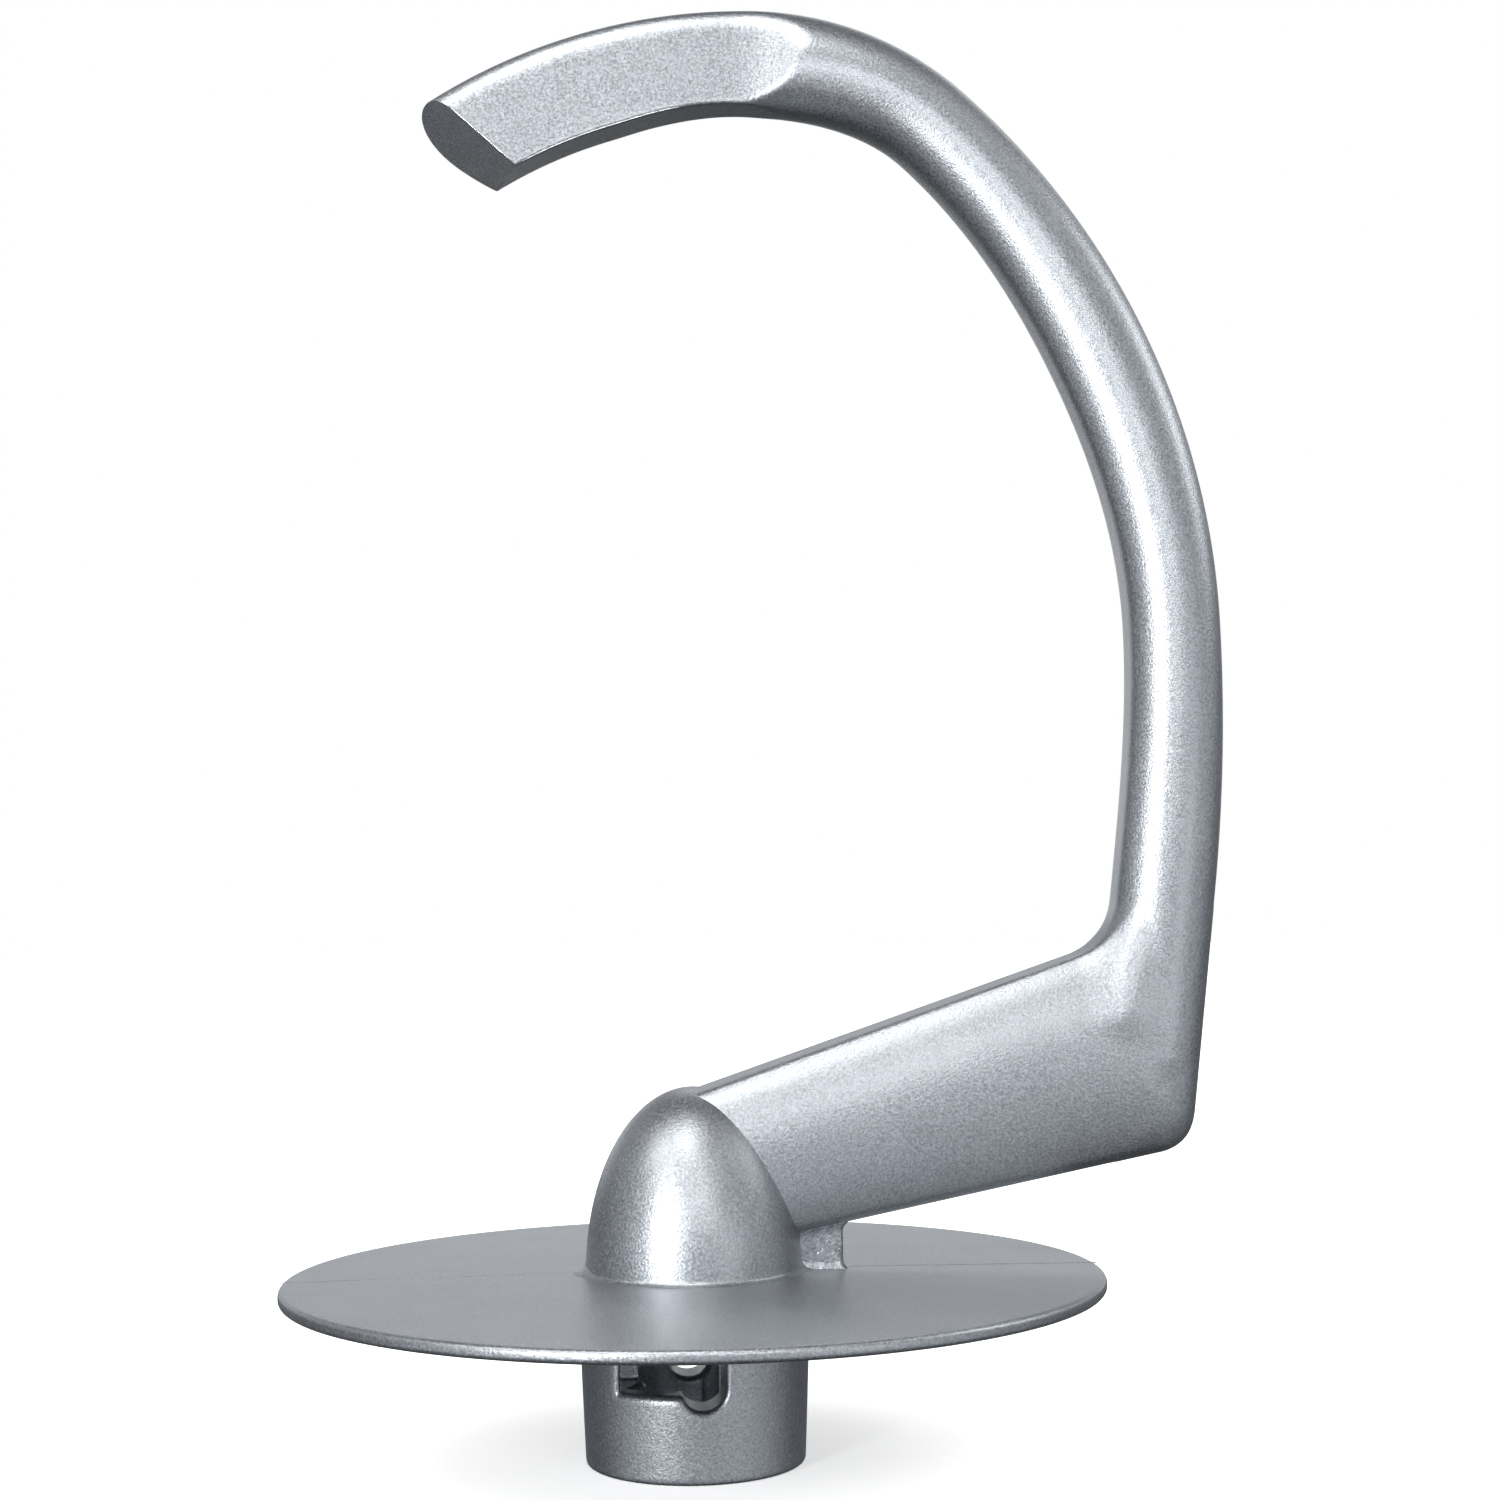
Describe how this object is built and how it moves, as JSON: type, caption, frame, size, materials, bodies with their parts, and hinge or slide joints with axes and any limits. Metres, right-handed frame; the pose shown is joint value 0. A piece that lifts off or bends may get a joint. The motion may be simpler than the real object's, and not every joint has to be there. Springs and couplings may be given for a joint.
{
  "type": "dough hook",
  "caption": "C-shaped dough hook for a stand mixer: bayonet drive hub, round dough shield, domed boss and a one-arm hook.",
  "frame": {"origin": "centre of the hub's open end face, on the drive shaft's axis", "axes": "+Z along the shaft's axis from the hub's mouth towards the hook; +X the side the arm leaves on; the hook lies in the XZ plane"},
  "size_m": [0.1095, 0.093, 0.1682],
  "materials": {
    "cast_aluminium": "satin, tumbled and burnished after casting"
  },
  "bodies": {
    "root": {"drive_hub": "cast_aluminium", "dough_shield": "cast_aluminium", "boss_dome": "cast_aluminium", "gate_rib": "cast_aluminium", "hook_arm": "cast_aluminium", "hook_bow": "cast_aluminium"}
  },
  "joints": []
}
